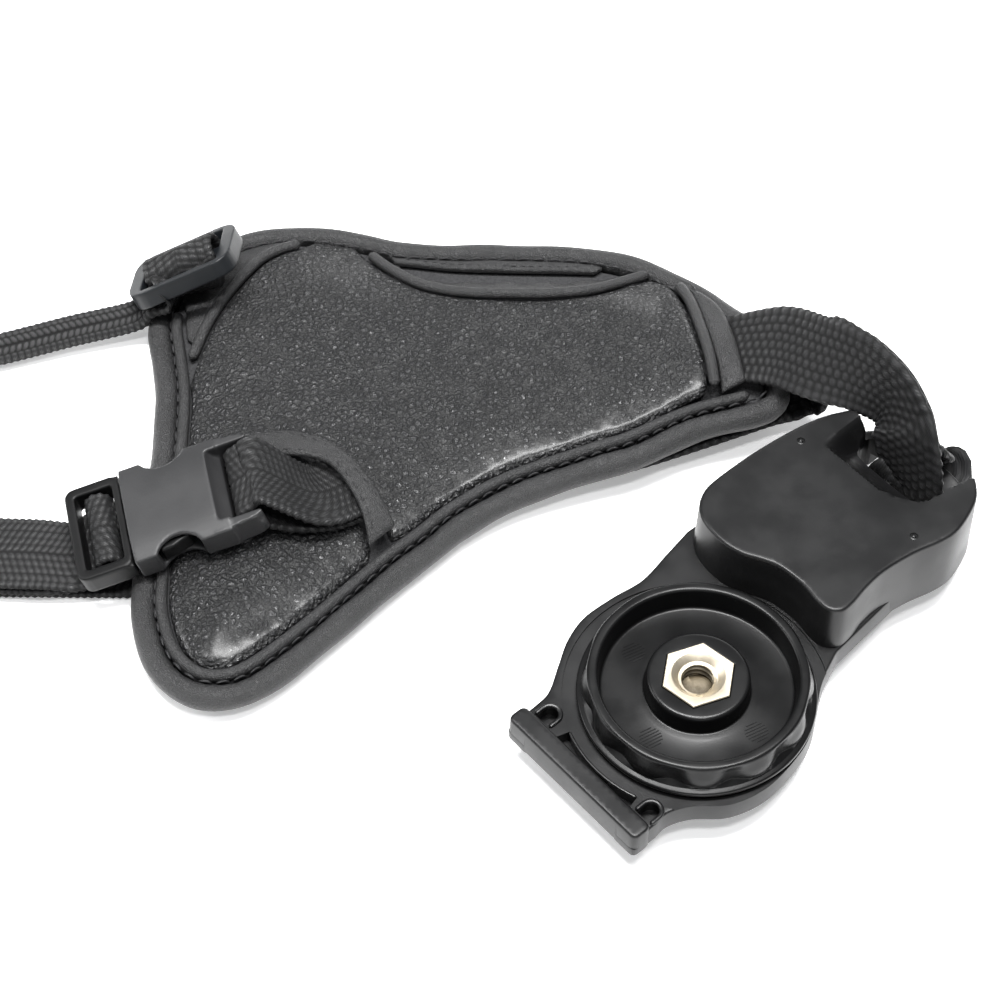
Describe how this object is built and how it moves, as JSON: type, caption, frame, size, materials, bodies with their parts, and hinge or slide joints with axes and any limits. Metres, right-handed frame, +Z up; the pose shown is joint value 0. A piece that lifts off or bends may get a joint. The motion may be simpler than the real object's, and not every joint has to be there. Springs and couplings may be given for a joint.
{
  "type": "camera hand grip strap",
  "caption": "Padded leather hand pad with webbing wrist and lug straps, joined by a webbing arch to a base plate with a tripod-socket thumbwheel.",
  "frame": {"origin": "middle of the object's footprint, at the height of the table it lies on", "axes": "+X along the object's longest extent, from the free ends of the wrist and lug straps towards the plate's head; +Y away from the wheel's side towards the pad's crescent edge; +Z up, the table's normal"},
  "size_m": [0.2098, 0.1384, 0.034],
  "materials": {
    "grained_leather": "pebble grain, satin",
    "smooth_leather": "fine grain, satin",
    "foam": "closed-cell foam, matt",
    "lining": "brushed microfibre, matt",
    "webbing": "coarse woven nylon, dull sheen",
    "plate_plastic": "satin on top, polished edges",
    "wheel_plastic": "polished",
    "buckle_plastic": "fine spark texture, satin",
    "rubber": "matt",
    "plated_metal": "pale gold plating, satin",
    "spring_metal": "plain"
  },
  "bodies": {
    "root": {"arc_piping": "smooth_leather", "base_plate": "plate_plastic", "buckle_female": "buckle_plastic", "buckle_tab": "webbing", "corner_gusset": "smooth_leather", "crescent_facing": "smooth_leather", "crescent_piping": "smooth_leather", "cross_strip": "smooth_leather", "edge_binding": "smooth_leather", "end_piping": "smooth_leather", "end_strip": "smooth_leather", "foam_core": "foam", "grip_rubber": "rubber", "inner_piping": "smooth_leather", "lobe_panel": "grained_leather", "lug_strap": "webbing", "main_panel": "grained_leather", "pad_lining": "lining", "plate_strap": "webbing", "rear_band": "smooth_leather", "strap_slide": "buckle_plastic", "wrist_strap": "webbing"},
    "wheel": {"thumbwheel": "wheel_plastic", "tripod_socket_screw": "plated_metal", "retaining_clip": "spring_metal"},
    "buckle_male": {"buckle_male": "buckle_plastic"}
  },
  "joints": [
    {"name": "wheel_spin", "type": "hinge", "parent": "root", "child": "wheel", "pos_m": [0.05497, -0.041, 0.01], "axis": [0, 0, 1], "continuous": true},
    {"name": "buckle_release", "type": "slide", "parent": "root", "child": "buckle_male", "axis": [-0.9434, -0.23, -0.2388], "range_m": [0, 0.018], "deforming": ["buckle_male", "wrist_strap"]}
  ]
}
